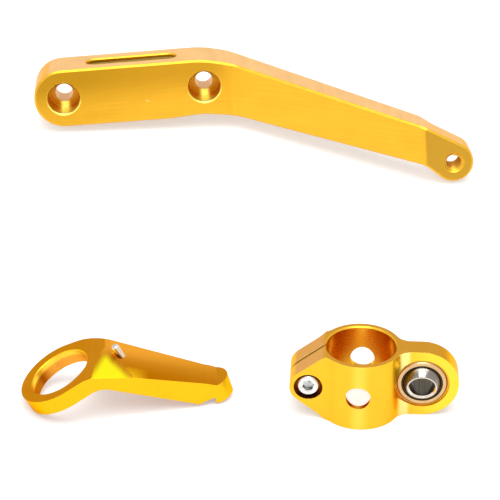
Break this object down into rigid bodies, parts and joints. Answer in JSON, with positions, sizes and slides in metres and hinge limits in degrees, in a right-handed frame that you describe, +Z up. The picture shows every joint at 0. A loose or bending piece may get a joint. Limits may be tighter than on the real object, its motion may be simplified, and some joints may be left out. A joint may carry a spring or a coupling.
{
  "type": "steering damper mounting kit",
  "caption": "Gold anodised motorcycle steering damper brackets: frame arm, stem ring bracket, and split clamp with spherical bearing, laid out on a floor.",
  "frame": {"origin": "foot of the damper clamp's bore axis, on the floor", "axes": "+Z up along the damper clamp's bore axis, -Y towards the viewer and the clamp bolt's head, +X to the bearing lug's side"},
  "size_m": [0.205, 0.2736, 0.0346],
  "materials": {
    "gold_anodised": "satin",
    "pin_steel": "satin",
    "bolt_steel": "satin",
    "race_steel": "satin",
    "liner_cloth": "matte",
    "ball_steel": "polished"
  },
  "bodies": {
    "frame_arm": {"frame_bracket": "gold_anodised"},
    "stem_link": {"stem_bracket": "gold_anodised", "locating_pin": "pin_steel"},
    "damper_clamp": {"clamp_body": "gold_anodised", "bearing_race": "race_steel", "bearing_liner": "liner_cloth"},
    "bolt": {"clamp_bolt": "bolt_steel"},
    "ball": {"bearing_ball": "ball_steel"}
  },
  "joints": [
    {"name": "stem_lift", "type": "slide", "parent": "frame_arm", "child": "stem_link", "axis": [0, 0, 1], "range_m": [0, 0.06]},
    {"name": "clamp_lift", "type": "slide", "parent": "frame_arm", "child": "damper_clamp", "axis": [0, 0, 1], "range_m": [0, 0.06]},
    {"name": "bolt_turn", "type": "hinge", "parent": "damper_clamp", "child": "bolt", "pos_m": [-0.01982, 0.00104, 0.0141], "axis": [-0.0523, -0.9986, 0], "continuous": true},
    {"name": "ball_tilt", "type": "hinge", "parent": "damper_clamp", "child": "ball", "pos_m": [0.02357, -0.00123, 0.0141], "axis": [0.9986, -0.0523, 0], "range_deg": [-24, 0]}
  ]
}
